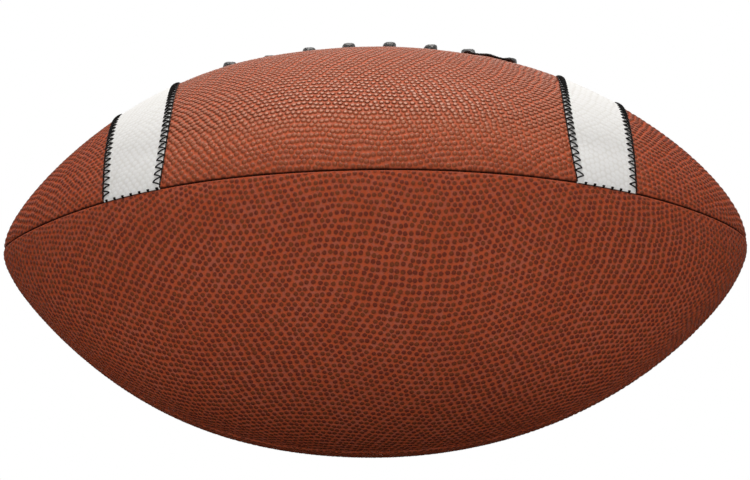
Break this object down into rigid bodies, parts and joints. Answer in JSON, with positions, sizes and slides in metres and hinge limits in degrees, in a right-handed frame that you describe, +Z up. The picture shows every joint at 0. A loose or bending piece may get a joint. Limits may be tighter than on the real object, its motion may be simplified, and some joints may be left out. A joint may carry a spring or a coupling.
{
  "type": "american football",
  "caption": "Laced American football of four pebbled leather panels with white stripes, zigzag stitching, a cross lace, linings, a bladder and a needle valve.",
  "frame": {"origin": "centre of the ball's bounding box, on the long axis", "axes": "+X along the long axis from tip to tip, +Z up through the lace, so the four seams lie at +Z, -Y, -Z and +Y"},
  "size_m": [0.2648, 0.1508, 0.1539],
  "materials": {
    "leather": "pebbled",
    "stripe": "white coated, pebbled",
    "thread": "twisted black thread",
    "lace": "black, pebbled",
    "lining": "woven cotton ply",
    "bladder": "satin",
    "valve": "moulded"
  },
  "bodies": {
    "root": {"panel_upper_front": "leather", "panel_upper_back": "leather", "panel_lower_front": "leather", "panel_lower_back": "leather", "lining_upper_front": "lining", "lining_upper_back": "lining", "lining_lower_front": "lining", "lining_lower_back": "lining", "stripe_front_left": "stripe", "stripe_front_right": "stripe", "stripe_back_left": "stripe", "stripe_back_right": "stripe", "stripe_thread_front_left": "thread", "stripe_thread_front_right": "thread", "stripe_thread_back_left": "thread", "stripe_thread_back_right": "thread", "seam_thread_top": "thread", "seam_thread_front": "thread", "seam_thread_bottom": "thread", "seam_thread_back": "thread", "lace": "lace", "lace_facing_front": "lining", "lace_facing_back": "lining", "lace_tongue": "leather", "bladder": "bladder", "valve_body": "valve", "valve_core": "valve", "valve_patch": "valve"}
  },
  "joints": []
}
